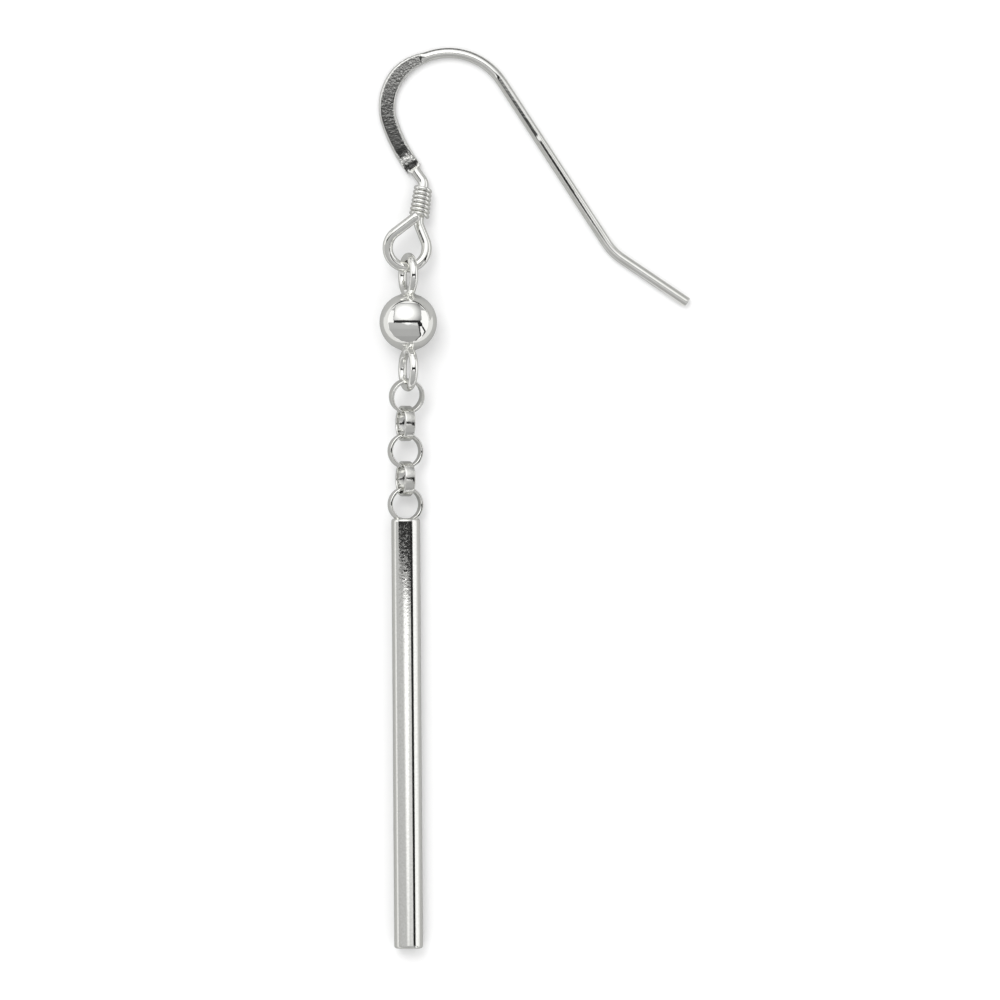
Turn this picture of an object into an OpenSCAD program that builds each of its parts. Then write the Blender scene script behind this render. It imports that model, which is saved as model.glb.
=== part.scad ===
// Bar drop earring lying on its side: a hook for the ear, a ball between two
// soldered rings, four loose links and a round bar with a fifth link soldered to it.
// X runs across, +Y from the bar toward the hook, +Z up off the surface it lies on.
// All sizes are millimetres and degrees.

/* [Bar] */
// Length of the bar
bar_length = 30; // [10:0.5:50]
// Diameter of the bar
bar_diameter = 2; // [1.7:0.1:3]
// Width of the bevel round each end of the bar
bar_bevel = 0.18; // [0.05:0.01:0.4]
// How far the end link sinks into the bar where it is soldered
bar_link_sink = 0.25; // [0.15:0.01:0.4]
// Angle by which the bar and its link lie turned from the line of the chain
bar_turn = 0.4; // [-3:0.1:3]

/* [Links] */
// Outer diameter of a link
link_diameter = 2.45; // [2.2:0.01:2.8]
// Width of the band that a link is made from
link_width = 0.72; // [0.5:0.02:0.9]
// Thickness of that band
link_thickness = 0.21; // [0.15:0.01:0.26]
// Bevel along the edges of the band, across its width
link_edge = 0.1; // [0.04:0.01:0.15]
// Slack left where one link holds the next
link_slack = 0.03; // [0.02:0.01:0.1]

/* [Ball and rings] */
// Diameter of the ball
ball_diameter = 4; // [3.4:0.1:6]
// Outer diameter of each ring on the ball
ring_diameter = 3.14; // [2.9:0.02:3.6]
// Thickness of the wire of each ring
ring_wire = 0.58; // [0.4:0.02:0.7]
// How far the wire of a ring sinks into the ball
ring_sink = 0.3; // [0.2:0.02:0.4]
// Radius of the solder at the foot of each ring
solder_radius = 0.58; // [0.45:0.01:0.75]
// Height of the solder over the ball
solder_rise = 0.12; // [0.05:0.01:0.2]
// Depth in the ball at which the solder starts
solder_depth = 0.3; // [0.2:0.01:0.5]
// How much the solder's radius falls from its start to its top
solder_taper = 0.2; // [0:0.01:0.3]
// Angle by which the ball tips its upper ring toward the surface
ball_tip = 2; // [0:0.5:8]
// Angle by which the rings and links lean toward +X as they lie
twist = 19; // [0:1:30]
// How far the chain and the bar lie to the left of the ball
chain_side = 0.2; // [0:0.01:0.4]

/* [Ear wire] */
// Diameter of the ear wire
wire_diameter = 0.7; // [0.6:0.02:0.8]
// Radius of the closed loop at the wire's middle
loop_radius = 1.38; // [1.3:0.01:1.6]
// Length of the free end that lies over the neck of the loop
free_end = 2.1; // [1:0.05:2.4]
// Length of the neck from the loop up to the coil
neck_length = 1.08; // [0.8:0.02:1.8]
// Angle at which the neck falls from the loop to the hammered front
neck_fall = 9; // [0:1:14]
// Width of the hammered front
front_width = 1.15; // [0.9:0.05:1.5]
// Thickness of the hammered front
front_thickness = 0.46; // [0.35:0.01:0.55]
// Length over which the wire widens into the hammered front
shoulder_length = 0.4; // [0.3:0.05:0.8]
// Radius of the bend of the hammered front
front_radius = 3.5; // [2.6:0.1:5]
// Radius of the bend over the top of the ear
crown_radius = 4.4; // [3.6:0.1:6]
// Length of the straight wire behind the ear
tail_length = 12.5; // [6:0.1:16]
// Length of the last straight stretch, out to the tip
tip_length = 4.6; // [4:0.1:9]

/* [Coil] */
// Turns of the coil
coil_turns = 6.5; // [4:0.5:7]
// Thickness of the coil's wire
coil_wire = 0.28; // [0.2:0.01:0.3]
// Gap between the coil and the ear wire, and between its turns
coil_gap = 0.02; // [0.01:0.005:0.04]
// How much wider the coil is at its lower end
coil_flare = 0.07; // [0:0.01:0.12]

/* [Hidden] */
$fn = 64;

SILVER = [0.80, 0.80, 0.79];
// Height at which a piece that rests on the surface starts
rest_gap = 0.01;

wire_radius = wire_diameter / 2;
ball_radius = ball_diameter / 2;
bar_radius = bar_diameter / 2;
link_radius = link_diameter / 2;
link_bore = link_radius - link_thickness;
ring_bore = ring_diameter / 2 - ring_wire;
ring_middle = (ring_diameter - ring_wire) / 2;

// Where a band crosses a round bore, its flat edges meet the bore before its middle
band_flat = link_width / 2 - link_edge;
function edge_rise(bore) = bore - sqrt(bore * bore - band_flat * band_flat);
link_pitch = 2 * link_bore - 2 * edge_rise(link_bore) - link_slack;
ring_pitch = ring_bore + link_bore - edge_rise(ring_bore) - link_slack;

// Heights of the pieces as they lie: upright links stand, the bar and the ball rest
upright_height = link_radius * cos(twist) + link_width / 2 * sin(twist) + rest_gap;
lying_height = link_radius * sin(twist) + link_width / 2 * cos(twist) + rest_gap;
bar_height = max(bar_radius, lying_height);
ball_height = ball_radius;

// The rings' centres, with the ball's centre at X 0, Y 0
ring_reach = ball_radius + ring_wire / 2 - ring_sink + ring_middle;
lower_ring = [0, -ring_reach * cos(ball_tip), ball_height + ring_reach * sin(ball_tip)];
upper_ring = [0, ring_reach * cos(ball_tip), ball_height - ring_reach * sin(ball_tip)];

// The first two links run down one slope from the lower ring to the surface, and a
// little to the side, where the rest of the chain and the bar lie
slope_length = ring_pitch + link_pitch;
slope_fall = lower_ring[2] - upright_height;
slope_angle = asin(slope_fall / slope_length);
slope_run = sqrt(slope_length * slope_length - slope_fall * slope_fall
    - chain_side * chain_side);
link_2 = lower_ring - [chain_side, slope_run, slope_fall];
link_1 = lower_ring + ring_pitch / slope_length * (link_2 - lower_ring);
link_3 = link_2 - [0, link_pitch, 0];
link_4 = link_3 - [0, link_pitch, 0];

// The last link is level with the bar, lower than the upright link that holds it, so
// the lower edge of its band meets that link's bore below the middle
end_fall = upright_height - bar_height;
end_reach = sqrt(pow(link_bore, 2) - pow(abs(end_fall) + band_flat, 2));
end_slack = 1.5 * link_slack;
end_pitch = end_reach + link_bore - edge_rise(link_bore) - end_slack;
link_5 = link_4 - [0, end_pitch, end_fall];
// The bar's top, measured from the middle of that link
bar_top = bar_link_sink - link_radius;

// Bends of the ear wire, in the order in which they are made. Each row has the
// straight run before the bend, the bend's radius, its turn to the left, and the
// climb of the wire out of the hook's plane at the bend's end.
RUN = 0;
RADIUS = 1;
TURN = 2;
CLIMB = 3;
// Direction of the free end in the hook's plane, and its climb down from over the neck
free_heading = 217;
free_climb = -0.16;
LOOP_BENDS = [
    [free_end, loop_radius, 85, -0.13],
    [0, loop_radius, 85, -0.10],
    [0, loop_radius, 85, -0.12],
    [neck_length, 1, -30, -tan(neck_fall)]
];
// The straight neck under the coil, with a little bare wire below and above the coil
coil_pitch = coil_wire + coil_gap;
coil_height = coil_turns * coil_pitch + coil_wire;
coil_start = 0.12;
coil_clear = 0.06;
NECK_BENDS = [
    [coil_start + coil_height + coil_clear, 0.6, 44, -tan(neck_fall)]
];
neck_top_run = 0.4;
// The hammered front starts with a short straight foot
front_foot = 0.5;
FRONT_BENDS = [
    [front_foot, 3, -3, 0],
    [0, 11, -15, 0],
    [0, front_radius, -79, 0],
    [0, crown_radius, -9, 0]
];
CROWN_BENDS = [
    [0, crown_radius, -77, 0],
    [tail_length, 8.5, 23, 0]
];

// A place along the wire is its point, its heading and its climb
POINT = 0;
HEADING = 1;
RISE = 2;
function unit(v) = v / norm(v);
function aim(place) = unit([cos(place[HEADING]), sin(place[HEADING]), place[RISE]]);
function after_run(place, run) =
    [place[POINT] + run * aim(place), place[HEADING], place[RISE]];
function bend_end(place, bend) = [place[POINT], place[HEADING] + bend[TURN], bend[CLIMB]];
function bend_axis(place, bend) = unit(cross(aim(place), aim(bend_end(place, bend))));
function bend_centre(place, bend) =
    place[POINT] + bend[RADIUS] * cross(bend_axis(place, bend), aim(place));
function after_bend(place, bend) =
    let (out = bend_end(place, bend),
         inward = cross(bend_axis(place, bend), aim(out)))
    [bend_centre(place, bend) - bend[RADIUS] * inward, out[HEADING], out[RISE]];
// The places where each bend of a list starts, and last the place where it ends
function bend_starts(bends, place, i = 0) =
    i == len(bends) ? [place]
    : let (start = after_run(place, bends[i][RUN]))
      concat([start], bend_starts(bends, after_bend(start, bends[i]), i + 1));
function last(list) = list[len(list) - 1];

tip_of_free_end = [[0, 0, 0], free_heading, free_climb];
loop_places = bend_starts(LOOP_BENDS, tip_of_free_end);
neck_places = bend_starts(NECK_BENDS, last(loop_places));
front_start = after_run(last(neck_places), neck_top_run);
front_places = bend_starts(FRONT_BENDS, after_run(front_start, shoulder_length));
crown_start = after_run(last(front_places), shoulder_length);
crown_places = bend_starts(CROWN_BENDS, crown_start);
tip_start = last(crown_places);
wire_tip = after_run(tip_start, tip_length);

// A station is a section of the wire: its middle, its direction, its width in the
// hook's plane and its thickness
WIRE_SIDES = 16;
STATION_TURN = 9;
ROUND = [wire_diameter, wire_diameter];
HAMMERED = [front_width, front_thickness];
function station(place, size) = [place[POINT], aim(place), size];
function bend_stations(place, bend, size) =
    let (axis = bend_axis(place, bend),
         start = aim(place),
         centre = bend_centre(place, bend),
         sweep = acos(start * aim(bend_end(place, bend))),
         steps = ceil(sweep / STATION_TURN))
    [for (i = [bend[RUN] > 0 ? 0 : 1 : steps])
        let (angle = sweep * i / steps,
             direction = cos(angle) * start + sin(angle) * cross(axis, start))
        [centre - bend[RADIUS] * cross(axis, direction), direction, size]];
function stations(bends, places, size) =
    [for (i = [0 : len(bends) - 1])
        each bend_stations(places[i], bends[i], size)];

// The free end is blunted, and the wire stands a hair wide where the tip leaves it. The
// tip starts a little way into that collar, which has a share of the wire's diameter.
BLUNT = [[0, 0.5], [0.06, 0.8], [0.2, 1]];
tip_inset = 0.015 * wire_diameter;
tip_overlap = 0.43 * wire_diameter;
tip_collar = 1.03 * ROUND;
wire_stations = concat(
    [for (step = BLUNT)
        station(after_run(tip_of_free_end, step[0] * wire_diameter), step[1] * ROUND)],
    stations(LOOP_BENDS, loop_places, ROUND),
    stations(NECK_BENDS, neck_places, ROUND),
    [station(front_start, ROUND), station(front_places[0], HAMMERED)],
    stations(FRONT_BENDS, front_places, HAMMERED),
    [station(crown_start, ROUND)],
    stations(CROWN_BENDS, crown_places, ROUND),
    [station(after_run(tip_start, tip_inset), tip_collar),
     station(after_run(tip_start, tip_overlap), tip_collar)]
);
// A round section, or with less thickness than width a flat one with round edges
function section_points(station) =
    let (side = unit(cross(station[1], [0, 0, 1])),
         up = cross(side, station[1]),
         size = station[2],
         fullness = 1 + 0.5 * (1 - size[1] / size[0]))
    [for (k = [0 : WIRE_SIDES - 1])
        let (angle = 360 * k / WIRE_SIDES,
             rise = max(-1, min(1, fullness * sin(angle))))
        station[0] + size[0] / 2 * cos(angle) * side + size[1] / 2 * rise * up];
// Faces of a tube of rings with as many points each, closed at both ends
function tube_faces(rings, sides) = concat(
    [[for (k = [sides - 1 : -1 : 0]) k]],
    [for (i = [0 : rings - 2], k = [0 : sides - 1])
        let (a = i * sides + k, b = i * sides + (k + 1) % sides)
        [a, b, b + sides, a + sides]],
    [[for (k = [0 : sides - 1]) (rings - 1) * sides + k]]
);

// Points of the hook's own plane that decide how it lies
loop_axis = bend_axis(loop_places[1], LOOP_BENDS[1]);
loop_foot = bend_centre(loop_places[1], LOOP_BENDS[1])
    - loop_radius * cross(loop_axis, unit(cross([0, 1, 0], loop_axis)));
crown_centre = bend_centre(crown_places[0], CROWN_BENDS[0]);
crown_top = crown_centre + [0, crown_radius, 0];
front_centre = bend_centre(front_places[2], FRONT_BENDS[2]);

// The loop hangs in the upper ring, on its far side and below its middle
loop_seat_angle = 25;
loop_seat = ring_bore - wire_radius - link_slack;
foot_target = upper_ring + loop_seat * [
    -sin(loop_seat_angle) * sin(twist),
    cos(loop_seat_angle),
    -sin(loop_seat_angle) * cos(twist)
];

// The tip and the bend behind the crown rest on the surface, along the straight line
// that touches both. They give the fall of the hook's plane along X and along Y.
centre_to_tip = wire_tip[POINT] - crown_centre;
touch_heading = atan2(centre_to_tip[1], centre_to_tip[0])
    - asin(crown_radius / norm(centre_to_tip));
crown_touch = crown_centre + crown_radius * [-sin(touch_heading), cos(touch_heading), 0];
to_crown = crown_touch - loop_foot;
to_tip = wire_tip[POINT] - loop_foot;
hook_fall = foot_target[2] + to_crown[2] - wire_radius - rest_gap;
lean_span = to_crown[0] * to_tip[1] - to_tip[0] * to_crown[1];
fall_x = hook_fall * (to_crown[1] - to_tip[1]) / lean_span;
fall_y = hook_fall * (to_tip[0] - to_crown[0]) / lean_span;
hook_up = unit([-fall_x, -fall_y, 1]);
hook_across = unit([1, 0, fall_x]);
hook_along = cross(hook_up, hook_across);
function on_hook(point) =
    let (v = point - loop_foot)
    foot_target + v[0] * hook_across + v[1] * hook_along + v[2] * hook_up;

// Reach of the whole earring, which puts the origin under the middle of its box
left_reach = on_hook(front_centre)[0] - front_radius - front_width / 2;
right_reach = on_hook(wire_tip[POINT])[0] + wire_radius * abs(sin(wire_tip[HEADING]));
top_reach = on_hook(crown_top)[1] + wire_radius;
bottom_reach = link_5[1] + (bar_top - bar_length) * cos(bar_turn)
    - (bar_radius - bar_bevel) * abs(sin(bar_turn));
place_in_frame = -[(left_reach + right_reach) / 2, (top_reach + bottom_reach) / 2, 0];

// Turns a child's own X, Y and Z to three directions and moves it to a point
module frame_at(point, x, y, z) {
    multmatrix([
        [x[0], y[0], z[0], point[0]],
        [x[1], y[1], z[1], point[1]],
        [x[2], y[2], z[2], point[2]],
        [0, 0, 0, 1]
    ])
        children();
}

// Stands a child on a place along the wire: Z follows the wire, X points to its right
module on_wire(place) {
    side = unit(cross(aim(place), [0, 0, 1]));
    frame_at(place[POINT], side, cross(aim(place), side), aim(place))
        children();
}

// A rectangle with bevelled corners, the section of a band
module band_section(width, thickness, bevel_x, bevel_y) {
    x = width / 2;
    y = thickness / 2;
    polygon([
        [x, -y + bevel_y], [x, y - bevel_y], [x - bevel_x, y], [-x + bevel_x, y],
        [-x, y - bevel_y], [-x, -y + bevel_y], [-x + bevel_x, -y], [x - bevel_x, -y]
    ]);
}

module hook_in_its_plane() {
    polyhedron([for (s = wire_stations) each section_points(s)],
               tube_faces(len(wire_stations), WIRE_SIDES));
    on_wire(tip_start)
        translate([0, 0, tip_inset])
            cylinder(h = tip_length - tip_inset, r = wire_radius);
}

// Lays the hook's plane on the loop's seat, the crown and the tip
module lay_hook() {
    frame_at(foot_target, hook_across, hook_along, hook_up)
        translate(-loop_foot)
            children();
}

module ear_wire() {
    color(SILVER)
        translate(place_in_frame)
            lay_hook()
                hook_in_its_plane();
}

// Fine wire wound to the left round the neck, wider toward its lower end
COIL_SIDES = 8;
COIL_STEPS = 16;
coil_rings = coil_turns * COIL_STEPS + 1;
function coil_radius(share) =
    wire_radius + coil_gap + coil_wire / 2 + coil_flare * (1 - share);
coil_points = [
    for (i = [0 : coil_rings - 1])
        let (share = i / (coil_rings - 1),
             angle = -360 * i / COIL_STEPS,
             height = coil_start + coil_wire / 2 + share * coil_turns * coil_pitch)
        for (k = [0 : COIL_SIDES - 1])
            let (side = -360 * k / COIL_SIDES,
                 radius = coil_radius(share) + coil_wire / 2 * cos(side))
            [radius * cos(angle), radius * sin(angle), height + coil_wire / 2 * sin(side)]
];

module wire_coil() {
    color(SILVER)
        translate(place_in_frame)
            lay_hook()
                on_wire(last(loop_places))
                    polyhedron(coil_points, tube_faces(coil_rings, COIL_SIDES));
}

// A round ring of wire whose axis is X
module wire_ring() {
    rotate([0, 90, 0])
        rotate_extrude()
            translate([ring_middle, 0])
                circle(r = ring_wire / 2);
}

// Solder at the foot of a ring that stands out along +Y, a cone that starts in the ball
module solder_foot() {
    rotate([-90, 0, 0])
        translate([0, 0, ball_radius - solder_depth])
            cylinder(h = solder_depth + solder_rise, r1 = solder_radius + solder_taper / 2,
                     r2 = solder_radius - solder_taper / 2);
}

module ball_link() {
    color(SILVER)
        translate(place_in_frame + [0, 0, ball_height])
            rotate([-ball_tip, 0, 0])
                rotate([0, twist, 0]) {
                    sphere(r = ball_radius);
                    for (way = [0, 180])
                        rotate([0, 0, way]) {
                            translate([0, ring_reach, 0])
                                wire_ring();
                            solder_foot();
                        }
                }
}

// A link of flat band whose axis is Z
module band_link() {
    rotate_extrude()
        translate([link_radius - link_thickness / 2, 0])
            band_section(link_thickness, link_width, link_thickness / 4, link_edge);
}

// Places a link: pitch is its slope along Y, and an upright link stands on its edge
module place_link(centre, slope, upright) {
    color(SILVER)
        translate(place_in_frame + centre)
            rotate([slope, 0, 0])
                rotate([0, twist + (upright ? 90 : 0), 0])
                    band_link();
}

module chain_link_1() {
    place_link(link_1, slope_angle, false);
}

module chain_link_2() {
    place_link(link_2, 0, true);
}

module chain_link_3() {
    place_link(link_3, 0, false);
}

module chain_link_4() {
    place_link(link_4, 0, true);
}

// The bar lies turned a little about the middle of the link in its end
module bar() {
    color(SILVER)
        translate(place_in_frame + link_5)
            rotate([0, 0, bar_turn]) {
                rotate([0, twist, 0])
                    band_link();
                translate([0, bar_top, bar_height - link_5[2]])
                    rotate([90, 0, 0])
                        rotate_extrude()
                            polygon([
                                [0, 0], [bar_radius - bar_bevel, 0],
                                [bar_radius, bar_bevel],
                                [bar_radius, bar_length - bar_bevel],
                                [bar_radius - bar_bevel, bar_length], [0, bar_length]
                            ]);
            }
}

ear_wire();
wire_coil();
ball_link();
chain_link_1();
chain_link_2();
chain_link_3();
chain_link_4();
bar();
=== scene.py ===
import math

import bpy
from mathutils import Matrix, Vector


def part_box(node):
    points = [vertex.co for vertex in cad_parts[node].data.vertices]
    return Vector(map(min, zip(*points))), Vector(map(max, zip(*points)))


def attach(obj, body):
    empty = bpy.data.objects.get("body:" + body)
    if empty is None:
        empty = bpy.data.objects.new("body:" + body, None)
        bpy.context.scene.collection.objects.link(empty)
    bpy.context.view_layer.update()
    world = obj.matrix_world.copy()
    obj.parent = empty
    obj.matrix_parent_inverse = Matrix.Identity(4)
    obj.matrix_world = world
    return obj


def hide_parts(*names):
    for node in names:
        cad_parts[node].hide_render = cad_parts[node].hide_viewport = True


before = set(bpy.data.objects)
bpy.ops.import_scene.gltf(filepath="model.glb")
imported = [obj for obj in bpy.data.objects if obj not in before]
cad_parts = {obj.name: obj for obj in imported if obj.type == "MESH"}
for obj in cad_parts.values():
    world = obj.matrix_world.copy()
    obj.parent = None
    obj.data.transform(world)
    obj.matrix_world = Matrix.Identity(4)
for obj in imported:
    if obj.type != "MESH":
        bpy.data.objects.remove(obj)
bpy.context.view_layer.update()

# The ball with its two rings: a polished 4 mm silver ball, with a ring of round wire
# soldered to it on each side. The earring hangs from the upper ring, and the lower one
# holds the chain. A ring's foot sinks into the ball in a small fillet of solder.
MM = 0.001
low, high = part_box("ball_link")
BALL_CENTRE = (low + high) / 2
BALL_RADIUS = (high.x - low.x) / 2
RING_WIRE = 0.58 * MM
RING_DIAMETER = 3.14 * MM
RING_SINK = 0.3 * MM
RING_MIDDLE = (RING_DIAMETER - RING_WIRE) / 2
RING_REACH = BALL_RADIUS + RING_WIRE / 2 - RING_SINK + RING_MIDDLE
# The ball lies tipped, its upper ring a little lower, and all the rings and links lean
BALL_TIP = math.radians(2)
LEAN = math.radians(19)


def deselect():
    """Leaves nothing selected, in object mode."""
    if bpy.context.object and bpy.context.object.mode == "EDIT":
        bpy.ops.object.mode_set(mode="OBJECT")
    bpy.ops.object.select_all(action="DESELECT")


def piece_from_primitive(name):
    """Names the primitive just added, fixes its place in its mesh and opens it for editing."""
    made = bpy.context.object
    made.name = name
    made.data.name = name
    bpy.ops.object.transform_apply(location=True, rotation=True, scale=True)
    bpy.ops.object.mode_set(mode="EDIT")
    bpy.ops.mesh.select_all(action="SELECT")
    return made


def select_only(what, chosen):
    """In edit mode, selects the vertices, edges or faces of a mesh for which chosen is true."""
    mesh = bpy.context.object.data
    bpy.ops.mesh.select_mode(type={"vertices": "VERT", "edges": "EDGE", "polygons": "FACE"}[what])
    bpy.ops.mesh.select_all(action="DESELECT")
    bpy.ops.object.mode_set(mode="OBJECT")
    for part in getattr(mesh, what):
        part.select = chosen(part)
    bpy.ops.object.mode_set(mode="EDIT")


def turn_and_place(made, turns, place):
    """Turns a piece about the origin, one (angle, axis) after the other, and moves it to its place."""
    deselect()
    turned = Matrix.Identity(4)
    for angle, axis in turns:
        turned = Matrix.Rotation(angle, 4, axis) @ turned
    made.matrix_world = Matrix.Translation(place) @ turned
    made.select_set(True)
    bpy.context.view_layer.objects.active = made
    bpy.ops.object.transform_apply(location=True, rotation=True, scale=True)


def weld(made, other):
    """Makes two closed pieces one, as solder does."""
    deselect()
    bpy.context.view_layer.objects.active = made
    joint = made.modifiers.new("solder", "BOOLEAN")
    joint.operation = "UNION"
    joint.solver = "EXACT"
    joint.object = other
    bpy.ops.object.modifier_apply(modifier=joint.name)
    bpy.data.objects.remove(other)


def tidy_surface(made, angle=40):
    """Merges doubles, turns faces outward and shades them smooth, with sharp edges kept."""
    deselect()
    made.select_set(True)
    bpy.context.view_layer.objects.active = made
    bpy.ops.object.mode_set(mode="EDIT")
    bpy.ops.mesh.select_all(action="SELECT")
    bpy.ops.mesh.remove_doubles(threshold=0.0005 * MM)
    bpy.ops.mesh.normals_make_consistent(inside=False)
    bpy.ops.object.mode_set(mode="OBJECT")
    bpy.ops.object.shade_smooth_by_angle(angle=math.radians(angle))


deselect()
bpy.ops.mesh.primitive_uv_sphere_add(segments=128, ring_count=64, radius=BALL_RADIUS,
                                     rotation=(math.pi / 2, 0, 0))
ball = piece_from_primitive("ball_with_rings")
deselect()
# Each foot of solder is a disc sunk in the ball, that rises as a short wall and then in
# steps: the rise of each in millimetres, and the share of its width that it keeps
SOLDER_RADIUS = 0.56 * MM
SOLDER_SPREAD = 1.1
SOLDER_SUNK = 0.2 * MM
SOLDER_WALL = 0.18 * MM
SOLDER_STEPS = [(0.05, 0.86), (0.07, 0.86), (0.09, 0.88), (0.12, 0.92)]
for side in (1, -1):
    bpy.ops.mesh.primitive_circle_add(vertices=64, radius=RING_WIRE / 2, fill_type="NOTHING",
                                      location=(0, side * (RING_REACH + RING_MIDDLE), 0))
    ring = piece_from_primitive("ring")
    bpy.ops.mesh.spin(steps=96, angle=2 * math.pi, center=(0, side * RING_REACH, 0),
                      axis=(1, 0, 0))
    tidy_surface(ring)
    deselect()
    foot = math.sqrt(BALL_RADIUS ** 2 - SOLDER_RADIUS ** 2) - SOLDER_SUNK
    bpy.ops.mesh.primitive_circle_add(vertices=64, radius=SOLDER_RADIUS * SOLDER_SPREAD,
                                      fill_type="NGON", location=(0, side * foot, 0),
                                      rotation=(-side * math.pi / 2, 0, 0))
    solder = piece_from_primitive("solder")
    bpy.ops.mesh.extrude_region_move(TRANSFORM_OT_translate={"value": (0, side * SOLDER_WALL, 0)})
    for rise, narrowing in SOLDER_STEPS:
        bpy.ops.mesh.extrude_region_move(TRANSFORM_OT_translate={"value": (0, side * rise * MM, 0)})
        bpy.ops.transform.resize(value=(narrowing, 1, narrowing))
    tidy_surface(solder)
    weld(ring, solder)
    weld(ball, ring)
turn_and_place(ball, [(LEAN, "Y"), (-BALL_TIP, "X")], BALL_CENTRE)
tidy_surface(ball)


def linear(hex_colour):
    """An sRGB hex colour as linear red, green, blue and alpha."""
    parts = [int(hex_colour[i:i + 2], 16) / 255 for i in (0, 2, 4)]
    return [p / 12.92 if p <= 0.04045 else ((p + 0.055) / 1.055) ** 2.4 for p in parts] + [1]


def add_node(tree, kind, values=(), links=(), **settings):
    """Adds a node, sets its settings and input values, and links (input, node, output) to it."""
    added = tree.nodes.new(kind)
    for name, value in settings.items():
        setattr(added, name, value)
    for socket, value in dict(values).items():
        added.inputs[socket].default_value = value
    for socket, source, output in links:
        tree.links.new(source.outputs[output], added.inputs[socket])
    return added


def silver(name, colour, shade, roughness, grain_mm, slope, patch_mm=1.5):
    """Silver: a metal of one colour, with patches of the width given last that are darker and duller
    by as much as the shade colour sets: a little is random tone, and a dark shade colour is painted
    shade.
    The grain that its finish leaves tips the surface by slope, a share of the grain's width."""
    made = bpy.data.materials.new(name)
    made.use_nodes = True
    tree = made.node_tree
    tree.nodes.clear()
    place = add_node(tree, "ShaderNodeTexCoord")
    patch_noise = add_node(tree, "ShaderNodeTexNoise", {"Scale": 1 / (patch_mm * MM), "Detail": 3},
                    [("Vector", place, "Object")])
    spread = add_node(tree, "ShaderNodeMapRange", {1: 0.35, 2: 0.65}, [("Value", patch_noise, "Fac")])
    tint = add_node(tree, "ShaderNodeMix", {6: linear(colour), 7: linear(shade)},
                    [(0, spread, 0)], data_type="RGBA")
    dull = add_node(tree, "ShaderNodeMapRange", {3: roughness[0], 4: roughness[1]},
                    [("Value", spread, 0)])
    grain = add_node(tree, "ShaderNodeTexNoise", {"Scale": 1 / (grain_mm * MM), "Detail": 2},
                     [("Vector", place, "Object")])
    bump = add_node(tree, "ShaderNodeBump", {"Strength": 1, "Distance": slope * grain_mm * MM},
                    [("Height", grain, "Fac")])
    metal = add_node(tree, "ShaderNodeBsdfPrincipled", {"Metallic": 1},
                     [("Base Color", tint, 2), ("Roughness", dull, 0), ("Normal", bump, 0)])
    add_node(tree, "ShaderNodeOutputMaterial", links=[("Surface", metal, "BSDF")])
    return made


# Sterling silver, turned and buffed to a mirror: nearly white, with faint orange peel
mirror_silver = silver("sterling_silver_mirror_polished", "F9F9F6", "F3F3F0", (0.02, 0.05),
                       0.25, 0.008)
ball.data.materials.append(mirror_silver)
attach(ball, "root")
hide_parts("ball_link")

# The chain: four loose links between the ball and the bar. Each is a short slice of
# silver tube, a flat band 0.72 mm wide closed in a ring, tumbled until its edges are
# round. Upright links stand on edge and hold the ones that lie over.
LINK_DIAMETER = 2.45 * MM
LINK_WIDTH = 0.72 * MM
LINK_THICKNESS = 0.21 * MM
LINK_EDGE = 0.085 * MM
LOOSE_LINKS = (1, 2, 3, 4)


def band_link(name):
    """One link round the Z axis: the section of its band, with round corners, spun round."""
    deselect()
    bpy.ops.mesh.primitive_plane_add(size=1, rotation=(math.pi / 2, 0, 0),
                                     location=((LINK_DIAMETER - LINK_THICKNESS) / 2, 0, 0))
    bpy.context.object.scale = (LINK_THICKNESS, LINK_WIDTH, 1)
    made = piece_from_primitive(name)
    bpy.ops.mesh.bevel(offset=LINK_EDGE, segments=5, affect="VERTICES")
    bpy.ops.mesh.delete(type="ONLY_FACE")
    bpy.ops.mesh.select_all(action="SELECT")
    bpy.ops.mesh.spin(steps=96, angle=2 * math.pi, center=(0, 0, 0), axis=(0, 0, 1))
    tidy_surface(made, 30)
    return made


# Sterling silver band, tumbled bright: small waves from the tumbling soften what it mirrors
tumbled_silver = silver("sterling_silver_tumbled", "F6F6F3", "EDEDE9", (0.05, 0.1), 0.2, 0.05)
link_pattern = band_link("link_pattern")
centres = {}
for i in LOOSE_LINKS:
    low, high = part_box(f"chain_link_{i}")
    centres[i] = (low + high) / 2
slope = math.asin((centres[1].z - centres[2].z) / (centres[1] - centres[2]).length)
for i in LOOSE_LINKS:
    link = link_pattern.copy()
    link.data = link_pattern.data.copy()
    link.name = link.data.name = f"band_link_{i}"
    bpy.context.collection.objects.link(link)
    upright = i % 2 == 0
    turn_and_place(link, [(LEAN + (math.pi / 2 if upright else 0), "Y"),
                          (slope if i == 1 else 0, "X")], centres[i])
    link.data.materials.append(tumbled_silver)
    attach(link, "root")
    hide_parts(f"chain_link_{i}")

# The bar: 30 mm of 2 mm round silver rod, its ends softly rounded, with a fifth link
# soldered into its top end. It is cut from drawn rod, buffed along its length.
BAR_RADIUS = 1 * MM
BAR_LENGTH = 30 * MM
BAR_EDGE = 0.2 * MM
BAR_TURN = math.radians(0.4)
LINK_SINK = 0.25 * MM
CUT = 0.04 * MM
low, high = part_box("bar")
end_link_place = Vector((centres[4].x, high.y - LINK_DIAMETER / 2, low.z + BAR_RADIUS))
bar_top = LINK_SINK - LINK_DIAMETER / 2


def span_along_bar(edge):
    """How far an edge of the bar reaches along it."""
    first_end, other_end = (bar.data.vertices[i].co.y for i in edge.vertices)
    return abs(first_end - other_end)


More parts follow.
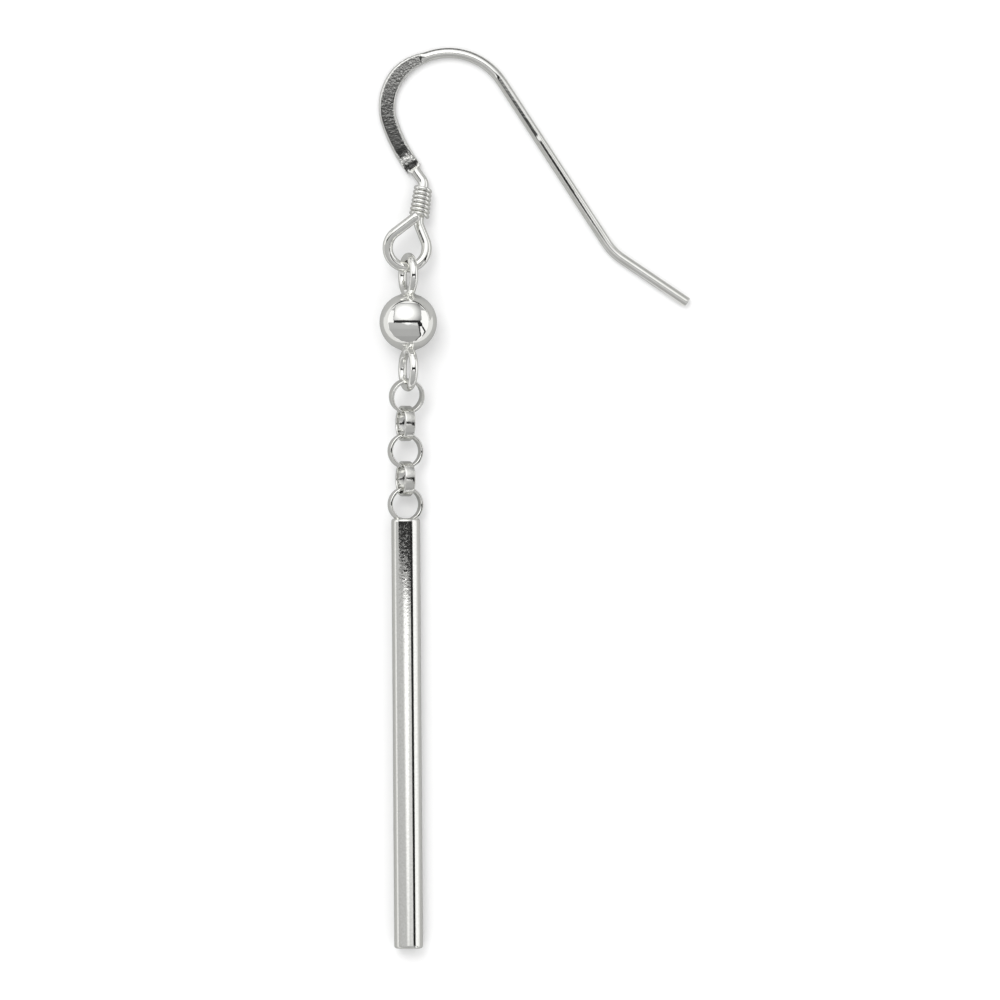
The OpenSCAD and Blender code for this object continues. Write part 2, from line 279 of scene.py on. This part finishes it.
deselect()
bpy.ops.mesh.primitive_cylinder_add(vertices=128, radius=BAR_RADIUS, depth=BAR_LENGTH,
                                    rotation=(math.pi / 2, 0, 0),
                                    location=(0, bar_top - BAR_LENGTH / 2, 0))
bar = piece_from_primitive("round_bar")
select_only("edges", lambda edge: span_along_bar(edge) < CUT)
bpy.ops.mesh.bevel(offset=BAR_EDGE, segments=6)
# A cut beside each bevel and an inset in each end keep the long side and the ends true
for cut in (bar_top - BAR_EDGE - CUT, bar_top - BAR_LENGTH + BAR_EDGE + CUT):
    bpy.ops.mesh.select_all(action="SELECT")
    bpy.ops.mesh.bisect(plane_co=(0, cut, 0), plane_no=(0, 1, 0), threshold=0.001 * MM)
select_only("polygons", lambda face: abs(face.normal.y) > 0.999)
bpy.ops.mesh.inset(thickness=CUT)
end_link = link_pattern.copy()
end_link.data = link_pattern.data.copy()
bpy.context.collection.objects.link(end_link)
turn_and_place(end_link, [(LEAN, "Y")], (0, 0, 0))
weld(bar, end_link)
bpy.data.objects.remove(link_pattern)
turn_and_place(bar, [(BAR_TURN, "Z")], end_link_place)
tidy_surface(bar)
# Sterling silver rod, buffed: a fine grain, drawn coarser than it is, at 0.16 mm, to show. It
# blurs only the edges of what the bar mirrors
buffed_silver = silver("sterling_silver_rod_buffed", "F8F8F5", "F0F0EC", (0.01, 0.1), 0.16, 0.006,
                       0.15)
bar.data.materials.append(buffed_silver)
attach(bar, "root")
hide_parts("bar")

# The ear wire: one length of 0.7 mm round silver wire, bent over round formers from its
# free end, round the loop, up the neck and over the front, which is hammered flat, to
# the crown, the tail and the tip. Its loop hangs in the ball's upper ring.
WIRE = 0.7
WIRE_SIDES = 48
LOOP_RADIUS = 1.38
# The coil's wire, turns and place, which give the straight part of the neck its length
COIL_WIRE = 0.28
COIL_GAP = 0.02
COIL_HALF_TURNS = 13
COIL_START = 0.12
COIL_CLEAR = 0.06
COIL_PITCH = COIL_WIRE + COIL_GAP
NECK_STRAIGHT = COIL_START + COIL_HALF_TURNS / 2 * COIL_PITCH + COIL_WIRE + COIL_CLEAR
NECK_FALL = -math.tan(math.radians(9))
NECK_TOP = 0.7
FRONT_FOOT = 0.2
FRONT_WIDTH = 1.15
FRONT_THICKNESS = 0.46
CROWN_RADIUS = 4.4
TIP_LENGTH = 5.5
TIP_EDGE = 0.04
# The free end starts at this heading in the hook's plane and this climb out of it, and is
# rounded over: the share of the full width at each distance from it
FREE_LENGTH = 2.1
FREE_HEADING = 217
FREE_CLIMB = -0.16
FREE_END = [(0, 0.4), (0.03, 0.7), (0.08, 0.88), (0.16, 1)]
# Each bend: the straight run before it, its radius, its turn to the left in degrees, and
# the climb out of the hook's plane at its end. Lengths are millimetres here.
LOOP_BENDS = [(FREE_LENGTH - FREE_END[-1][0], LOOP_RADIUS, 85, -0.13),
              (0, LOOP_RADIUS, 85, -0.10), (0, LOOP_RADIUS, 85, -0.12), (1.08, 1, -30, NECK_FALL)]
NECK_BENDS = [(NECK_STRAIGHT, 0.6, 44, NECK_FALL)]
LEVEL_BENDS = [(0, 3, -3, 0)]
FRONT_BENDS = [(0, 11, -15, 0), (0, 3.5, -55, 0)]
CROWN_BENDS = [(0, CROWN_RADIUS, -77, 0)]
TIP_BENDS = [(0.3, 4, 23, 0)]
# A bend has a ring of vertices every 3 degrees, and a straight run one near each end
BEND_STEP = 3
END_STEP = 0.2
# Widths and heights of the section are shares of the wire's. The front is drawn 1.6 times
# as thick as it will be, for its flats to be pressed from, and so has a round rim. Its
# lower end widens in short straight runs, and its upper end narrows bend by bend: each row
# of a shoulder has a run, a width and a height, and of the taper a radius, turn and width.
SWOLLEN = 1.6 * FRONT_THICKNESS / WIRE
WIDENED = FRONT_WIDTH / WIRE
LOWER_SHOULDER = [(0.1, 1.04, 1.02), (0.14, 0.97 * WIDENED, SWOLLEN), (0.16, WIDENED, SWOLLEN)]
UPPER_TAPER = [(3.5, -8, 1.55), (3.5, -8, 1.42), (3.5, -8, 1.28), (CROWN_RADIUS, -4.5, 1.18),
               (CROWN_RADIUS, -4.5, 1.1)]
UPPER_SHOULDER = [(0.14, 1.06, 0.98), (0.16, 1.02, 1), (0.1, 1, 1)]
# The top flat lies lower at the front's foot, at this height over the wire's middle. In the
# first bend it climbs this share of the way to half the thickness, then steps up to it.
LOW_FLAT = 0.135
LOW_RISE = 0.4
# The wire was drawn through a worn die: two narrow flats on the top of its tail, each
# with the run before it, its length and its height over the wire's middle. The first
# begins three rings of vertices early, in the crown.
TAIL_FLATS = [(0.05, 4.6, 0.322), (0.2, 4.5, 0.338)]
FLAT_IN_CROWN = 3
TAIL_LENGTH = 13.4
TAIL_REST = TAIL_LENGTH - TIP_BENDS[0][0] - sum(run + length for run, length, height in TAIL_FLATS)


def aim(heading, climb):
    """The direction of the wire at a heading in its plane and a climb out of it."""
    turn = math.radians(heading)
    return Vector((math.cos(turn), math.sin(turn), climb)).normalized()


class Wire:
    """The wire's growing end, in the hook's own plane, in millimetres."""

    def __init__(self, heading, climb):
        self.point = Vector((0, 0, 0))
        self.heading = heading
        self.climb = climb
        self.width = self.height = 1

    def direction(self):
        """The way that its end points."""
        return aim(self.heading, self.climb)

    def draw(self, length):
        """Draws the wire on, straight."""
        step = length * self.direction()
        bpy.ops.mesh.extrude_region_move(TRANSFORM_OT_translate={"value": step * MM})
        self.point = self.point + step

    def run(self, length):
        """Draws it on with a short step at each end, which keeps the bends' shading out."""
        short = min(END_STEP, length / 3)
        for step in (short, length - 2 * short, short):
            self.draw(step)

    def bend(self, radius, turn, climb):
        """Bends the wire round a former, and returns the former's centre and axis."""
        start = self.direction()
        end = aim(self.heading + turn, climb)
        axis = start.cross(end).normalized()
        centre = self.point + radius * axis.cross(start)
        angle = start.angle(end)
        steps = math.ceil(math.degrees(angle) / BEND_STEP)
        bpy.ops.mesh.spin(steps=steps, angle=-angle, center=centre * MM, axis=axis)
        self.point = centre - radius * axis.cross(end)
        self.heading += turn
        self.climb = climb
        return centre, axis

    def bends(self, rows):
        """Makes the bends of a list, and returns the formers' centres and axes."""
        formers = []
        for run, radius, turn, climb in rows:
            if run:
                self.run(run)
            formers.append(self.bend(radius, turn, climb))
        return formers

    def shape(self, width, height):
        """Gives the section that the wire ends in a width and a height."""
        wider = width / self.width
        bpy.ops.transform.resize(value=(wider, wider, height / self.height),
                                 center_override=self.point * MM)
        self.width, self.height = width, height

    def vertices(self):
        """The number of vertices so far."""
        bpy.context.object.update_from_editmode()
        return len(bpy.context.object.data.vertices)


wire = Wire(FREE_HEADING, FREE_CLIMB)
deselect()
bpy.ops.mesh.primitive_circle_add(vertices=WIRE_SIDES, fill_type="NGON",
                                  radius=WIRE / 2 * FREE_END[0][1] * MM,
                                  rotation=wire.direction().to_track_quat("Z", "Y").to_euler())
ear_wire = piece_from_primitive("ear_wire_bent")
drawn = 0
wire.width = wire.height = FREE_END[0][1]
for reach, share in FREE_END[1:]:
    wire.draw(reach - drawn)
    wire.shape(share, share)
    drawn = reach
loop_formers = wire.bends(LOOP_BENDS)
neck_point = wire.point.copy()
neck_aim = wire.direction()
wire.bends(NECK_BENDS)
wire.run(NECK_TOP)

for run, width, height in LOWER_SHOULDER:
    wire.draw(run)
    wire.shape(width, height)
# The front begins with the last two rings of its shoulder
front_first = wire.vertices() - 2 * WIRE_SIDES
wire.run(FRONT_FOOT)
low_last = wire.vertices()
wire.bends(LEVEL_BENDS)
front_level = wire.point.z
rise_last = wire.vertices()
wire.bends(FRONT_BENDS)
for radius, turn, width in UPPER_TAPER:
    wire.bend(radius, turn, 0)
    wire.shape(width, SWOLLEN)
front_last = wire.vertices()
for run, width, height in UPPER_SHOULDER:
    wire.draw(run)
    wire.shape(width, height)
crown_formers = wire.bends(CROWN_BENDS)
tail_flats = []
back = FLAT_IN_CROWN
for gap, length, height in TAIL_FLATS:
    wire.draw(gap)
    flat_first = wire.vertices() - (back + 1) * WIRE_SIDES
    wire.run(length)
    tail_flats.append((flat_first, wire.vertices(), height))
    back = 0
wire.draw(TAIL_REST)
wire.bends(TIP_BENDS)
wire.run(TIP_LENGTH)
wire_tip = wire.point.copy()
# The square-cut tip has a fine burr-free edge
bpy.ops.mesh.select_mode(type="FACE")
bpy.ops.mesh.bevel(offset=TIP_EDGE * MM, segments=3, affect="EDGES")
# The flats are pressed level, the front's on both sides and the tail's on top. The front's
# top rises from its low foot ring by ring of the first bend.
rings = range(low_last, rise_last, WIRE_SIDES)
rise = LOW_RISE * (FRONT_THICKNESS / 2 - LOW_FLAT) / len(rings)
pressed = [(front_first, front_last, FRONT_THICKNESS / 2), (front_first, low_last, LOW_FLAT),
           (front_first, front_last, -FRONT_THICKNESS / 2), *tail_flats]
for i, ring in enumerate(rings, 1):
    pressed.append((ring, ring + WIRE_SIDES, LOW_FLAT + i * rise))
for flat_first, flat_last, height in pressed:
    level = (front_level + height) * MM
    way = math.copysign(1, height)
    select_only("vertices", lambda v: flat_first <= v.index < flat_last
                and way * (v.co.z - level) > 0)
    bpy.ops.transform.resize(value=(1, 1, 0), center_override=(0, 0, level))

# The hook lies on three places: the loop's seat in the ring, 25 degrees round from the
# ring's end and with a little slack, the crown and the tip, a hair over the floor
upper_ring = BALL_CENTRE / MM + RING_REACH / MM * Vector((0, math.cos(BALL_TIP), -math.sin(BALL_TIP)))
LOOP_SEAT_ANGLE = math.radians(25)
SLACK = 0.03
REST_GAP = 0.01
loop_centre, loop_axis = loop_formers[1]
loop_foot = loop_centre - LOOP_RADIUS * loop_axis.cross(
    Vector((0, 1, 0)).cross(loop_axis).normalized())
loop_seat = RING_DIAMETER / MM / 2 - RING_WIRE / MM - WIRE / 2 - SLACK
foot_target = upper_ring + loop_seat * Vector((
    -math.sin(LOOP_SEAT_ANGLE) * math.sin(LEAN), math.cos(LOOP_SEAT_ANGLE),
    -math.sin(LOOP_SEAT_ANGLE) * math.cos(LEAN)))
# The crown touches the floor where a line from the tip meets its bend
crown_centre = crown_formers[0][0]
to_tip_from_crown = wire_tip - crown_centre
touch = math.atan2(to_tip_from_crown.y, to_tip_from_crown.x) - math.asin(
    CROWN_RADIUS / to_tip_from_crown.length)
to_crown = crown_centre + CROWN_RADIUS * Vector((-math.sin(touch), math.cos(touch), 0)) - loop_foot
to_tip = wire_tip - loop_foot
# The plane's two slopes bring both of them down to the floor
fall = foot_target.z + to_crown.z - WIRE / 2 - REST_GAP
span = to_crown.x * to_tip.y - to_tip.x * to_crown.y
fall_x = fall * (to_crown.y - to_tip.y) / span
fall_y = fall * (to_tip.x - to_crown.x) / span
hook_up = Vector((-fall_x, -fall_y, 1)).normalized()
hook_across = Vector((1, 0, fall_x)).normalized()
hook_along = hook_up.cross(hook_across)
lay = Matrix((hook_across, hook_along, hook_up)).transposed().to_4x4()
lay_hook = Matrix.Translation(foot_target * MM) @ lay @ Matrix.Translation(-loop_foot * MM)


def lay_down(made, in_plane):
    """Lays a piece, placed in the hook's plane, on the floor with it."""
    deselect()
    made.matrix_world = lay_hook @ in_plane
    made.select_set(True)
    bpy.context.view_layer.objects.active = made
    bpy.ops.object.transform_apply(location=True, rotation=True, scale=True)


# Sterling silver wire, drawn and tumbled: bright, with the faintest waves of the die
drawn_silver = silver("sterling_silver_wire_drawn", "F7F7F4", "EFEFEB", (0.04, 0.08), 0.15, 0.015)
# The front: sterling silver, hammered on a rough anvil and only lightly buffed, so that
# its flat mirrors what is above it in small speckles. Its patches vary at random, and their dark
# colour, far darker than silver, is painted shade that deepens the speckles
hammered_silver_painted_shade = silver("sterling_silver_hammered_painted_shade", "F4F4F1", "A0A09D", (0.03, 0.17),
                         0.16, 0.024, 0.12)
# Its round rim: sterling silver, satin from rubbing, which blurs what it mirrors to a pale line
rubbed_silver = silver("sterling_silver_rim_satin", "FAFAF7", "E8E8E5", (0.3, 0.42), 0.15, 0.01)
ear_wire.data.materials.append(drawn_silver)
ear_wire.data.materials.append(hammered_silver_painted_shade)
ear_wire.data.materials.append(rubbed_silver)
deselect()
HAMMERED_PAINTED_SHADE_SLOT = 1
RUBBED_SLOT = 2
LEVEL = 0.9
front = range(front_first, front_last)
for face in ear_wire.data.polygons:
    if all(v in front for v in face.vertices):
        face.material_index = HAMMERED_PAINTED_SHADE_SLOT if abs(face.normal.z) > LEVEL else RUBBED_SLOT
lay_down(ear_wire, Matrix.Identity(4))
tidy_surface(ear_wire, 50)
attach(ear_wire, "root")
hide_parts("ear_wire")

# The coil: 0.28 mm silver wire wound round the neck of the ear wire, six and a half turns
# side by side, a little wider at its lower end. The bends above and below the neck hold
# it in its place.
COIL_FLARE = 0.07
wide = WIRE / 2 + COIL_GAP + COIL_WIRE / 2 + COIL_FLARE
deselect()
bpy.ops.mesh.primitive_circle_add(vertices=20, radius=COIL_WIRE / 2 * MM, fill_type="NOTHING",
                                  location=(wide * MM, 0, 0), rotation=(math.pi / 2, 0, 0))
coil = piece_from_primitive("neck_coil")
bpy.ops.object.mode_set(mode="OBJECT")
winding = coil.modifiers.new("winding", "SCREW")
winding.angle = -math.pi
winding.iterations = COIL_HALF_TURNS
winding.screw_offset = COIL_PITCH / 2 * MM
winding.steps = winding.render_steps = 24
bpy.ops.object.modifier_apply(modifier=winding.name)
flare = coil.modifiers.new("flare", "SIMPLE_DEFORM")
flare.deform_method = "TAPER"
flare.deform_axis = "Z"
flare.factor = -COIL_FLARE / wide
bpy.ops.object.modifier_apply(modifier=flare.name)
bpy.ops.object.mode_set(mode="EDIT")
bpy.ops.mesh.select_mode(type="EDGE")
bpy.ops.mesh.select_all(action="DESELECT")
bpy.ops.mesh.select_non_manifold()
bpy.ops.mesh.fill_holes(sides=0)
bpy.ops.object.mode_set(mode="OBJECT")
neck_side = neck_aim.cross(Vector((0, 0, 1))).normalized()
on_neck = Matrix((neck_side, neck_aim.cross(neck_side), neck_aim)).transposed().to_4x4()
coil_place = Matrix.Translation((neck_point + (COIL_START + COIL_WIRE / 2) * neck_aim) * MM)
lay_down(coil, coil_place @ on_neck)
tidy_surface(coil, 60)
coil.data.materials.append(drawn_silver)
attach(coil, "root")
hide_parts("wire_coil")

# The studio: the earring lies on white card, seen from straight above. A large softbox
# stands on the hook's side and a grey card on the bar's side, with a narrow dark gap
# between them for the camera, which the polished silver shows as thin black lines.
FLOOR_WIDTH = 4
deselect()
bpy.ops.mesh.primitive_plane_add(size=FLOOR_WIDTH)
floor = bpy.context.object
floor.name = "floor"
# The silver doesn't mirror this card but the painted sheets laid on it, greyer than it
floor.visible_glossy = False


def card_material(name, hex_colour):
    """Matt card of one colour."""
    made = bpy.data.materials.new(name)
    made.use_nodes = True
    surface = made.node_tree.nodes["Principled BSDF"]
    surface.inputs["Base Color"].default_value = linear(hex_colour)
    surface.inputs["Roughness"].default_value = 0.9
    surface.inputs["Specular IOR Level"].default_value = 0
    return made


floor.data.materials.append(card_material("white_card", "F4F4F4"))


def mirrored_only(made):
    """Hides a thing of the stage from all but the silver, which mirrors it."""
    made.visible_camera = False
    made.visible_diffuse = False
    made.visible_shadow = False


# The silver mirrors a greyer table than the camera sees, as a painted reflection of the floor, grey
# near the earring as painted shade
# and dark past the crown: left, right, near and far edges and height in millimetres, and colour
for name, left, right, near, far, up, shade in [
        ("painted_floor_reflection", -900, 900, -900, 900, 0.02, "D2D2D1"),
        ("painted_shade_by_drop", -16, -2, -60, 14, 0.03, "A8A8A7"),
        ("painted_shade_by_hook", -18, 16, 14, 32, 0.03, "ACACAB"),
        ("painted_dark_reflection", -40, 40, 32, 90, 0.03, "3C3C3C")]:
    middle = Vector(((left + right) / 2, (near + far) / 2, up)) * MM
    bpy.ops.mesh.primitive_plane_add(size=MM, location=middle)
    mirrored_sheet = bpy.context.object
    mirrored_sheet.name = name
    mirrored_sheet.scale = (right - left, far - near, 1)
    mirrored_sheet.data.materials.append(card_material(name, shade))
    mirrored_only(mirrored_sheet)


def tone(name, strength, edge=None, spot=None, spread=None):
    """A glow for what the silver mirrors: even, or with a hot spot on its card that falls to an
    edge strength. The spot and its spread are shares of the card's width and height."""
    made = bpy.data.materials.new(name)
    made.use_nodes = True
    tree = made.node_tree
    tree.nodes.clear()
    glow = add_node(tree, "ShaderNodeEmission", {"Strength": strength})
    if spot:
        place = add_node(tree, "ShaderNodeTexCoord")
        from_spot = add_node(tree, "ShaderNodeVectorMath", {1: (-spot[0], -spot[1], 0)},
                             [(0, place, "UV")], operation="ADD")
        scaled = add_node(tree, "ShaderNodeVectorMath", {1: (1 / spread[0], 1 / spread[1], 1)},
                          [(0, from_spot, 0)], operation="MULTIPLY")
        nearness = add_node(tree, "ShaderNodeTexGradient", links=[("Vector", scaled, 0)],
                            gradient_type="SPHERICAL")
        fall = add_node(tree, "ShaderNodeMapRange", {3: edge, 4: strength},
                        [("Value", nearness, "Fac")])
        tree.links.new(fall.outputs[0], glow.inputs["Strength"])
    add_node(tree, "ShaderNodeOutputMaterial", links=[("Surface", glow, 0)])
    return made


def seen_at(across, along, distance):
    """The place that a mirror ball shows at a share of its radius to the right and up."""
    up = math.sqrt(1 - across ** 2 - along ** 2)
    return BALL_CENTRE + distance * Vector((2 * up * across, 2 * up * along, 2 * up * up - 1))


def studio_card(name, corners, distance, *glow):
    """A card bent through the places that a mirror ball shows at four corners."""
    deselect()
    bpy.ops.mesh.primitive_grid_add(x_subdivisions=12, y_subdivisions=12, size=2)
    made = bpy.context.object
    made.name = name
    a, b, c, d = (Vector(corner) for corner in corners)
    for v in made.data.vertices:
        s, t = (v.co.x + 1) / 2, (v.co.y + 1) / 2
        spot = (1 - t) * ((1 - s) * a + s * b) + t * ((1 - s) * d + s * c)
        v.co = seen_at(spot.x, spot.y, distance)
    made.data.materials.append(tone(name, *glow))
    mirrored_only(made)


# The cards stand a third of a metre from the ball, a nearer one before the one that it covers.
# Corners are in shares of a mirror ball's radius, and the glow is what tone takes.
STUDIO = 0.33
studio_card("softbox", [(-0.49, 0.061), (0.44, 0.061), (0.40, 0.63), (-0.42, 0.63)], STUDIO,
            1.9, 0.15, (0.40, 0.45), (0.73, 0.83))
studio_card("softbox_frame", [(-0.52, 0.05), (0.475, 0.05), (0.43, 0.66), (-0.45, 0.66)],
            STUDIO * 1.01, 0.45)
studio_card("grey_wall", [(-0.60, 0.40), (0.60, 0.40), (0.36, 0.60), (-0.36, 0.60)],
            STUDIO * 1.03, 0.45)
studio_card("gap", [(-0.50, -0.034), (0.44, -0.034), (0.44, 0.052), (-0.50, 0.052)],
            STUDIO * 0.98, 0.03)
studio_card("grey_card_top", [(-0.66, -0.25), (0.41, -0.25), (0.40, -0.02), (-0.69, -0.02)],
            STUDIO * 1.02, 0.57, 0.46, (0.55, 1.0), (1.0, 1.2))
studio_card("grey_card", [(-0.50, -0.495), (0.45, -0.50), (0.41, -0.25), (-0.66, -0.25)],
            STUDIO * 1.02, 0.44)
studio_card("grey_card_low", [(-0.25, -0.66), (0.27, -0.65), (0.45, -0.50), (-0.50, -0.495)],
            STUDIO * 1.02, 0.38)
studio_card("grey_card_foot", [(-0.05, -0.703), (0.05, -0.703), (0.27, -0.65), (-0.25, -0.66)],
            STUDIO * 1.02, 0.36)
studio_card("glow_card", [(0.02, -0.12), (0.38, -0.12), (0.38, -0.03), (0.0, -0.03)],
            STUDIO * 1.01, 0.74)
studio_card("strip_light", [(-0.09, -0.13), (0.09, -0.13), (0.22, -0.03), (-0.28, -0.03)],
            STUDIO, 1.6, 0.5, (0.56, 1), (0.6, 1))
# Dark seams round the grey card, which the silver draws as thin lines
studio_card("seam_top", [(0.365, -0.16), (0.51, -0.16), (0.48, -0.02), (0.31, -0.02)],
            STUDIO * 0.97, 0.02)
studio_card("seam_right", [(0.47, -0.16), (0.53, -0.16), (0.62, -0.33), (0.56, -0.33)],
            STUDIO * 0.97, 0.03)
studio_card("seam_right_low", [(0.48, -0.52), (0.53, -0.52), (0.62, -0.33), (0.56, -0.33)],
            STUDIO * 0.97, 0.10)
studio_card("seam_left", [(0.41, -0.47), (0.46, -0.47), (0.41, -0.16), (0.36, -0.16)],
            STUDIO * 0.97, 0.06)
studio_card("seam_left_low", [(0.24, -0.65), (0.28, -0.66), (0.46, -0.47), (0.41, -0.47)],
            STUDIO * 0.97, 0.15)

# White all round, which lights the card and softens the shadows
world = bpy.data.worlds.new("studio")
bpy.context.scene.world = world
world.use_nodes = True
world.node_tree.nodes["Background"].inputs["Color"].default_value = linear("F6F6F6")
world.node_tree.nodes["Background"].inputs["Strength"].default_value = 1.15

# A broad light high beyond the hook, a little to the left, which the silver doesn't mirror
WINDOW_DISTANCE = 1.2
WINDOW_WAY = Vector((-0.25, 0.42, 0.87))
WINDOW_WIDTH = 0.6
WINDOW_WATTS = 4
window_data = bpy.data.lights.new("window", "AREA")
window_data.energy = WINDOW_WATTS
window_data.size = WINDOW_WIDTH
window = bpy.data.objects.new("window", window_data)
bpy.context.collection.objects.link(window)
window.location = WINDOW_DISTANCE * WINDOW_WAY
window.rotation_euler = WINDOW_WAY.to_track_quat("Z", "Y").to_euler()
window.visible_glossy = False

# The camera looks straight down through a long lens, so far up that its frame is 69.77 mm
# wide at the height of the bar's middle
LENS = 310
SENSOR = 36
FRAME_WIDTH = 69.77 * MM
VIEW_CENTRE = Vector((-2.415 * MM, -0.144 * MM, 1 * MM))
camera_data = bpy.data.cameras.new("camera")
camera_data.lens = LENS
camera_data.sensor_width = SENSOR
camera_data.clip_start = 10 * MM
camera = bpy.data.objects.new("camera", camera_data)
bpy.context.collection.objects.link(camera)
camera.location = VIEW_CENTRE + Vector((0, 0, FRAME_WIDTH * LENS / SENSOR))
bpy.context.scene.camera = camera
bpy.context.scene.view_settings.view_transform = "Standard"
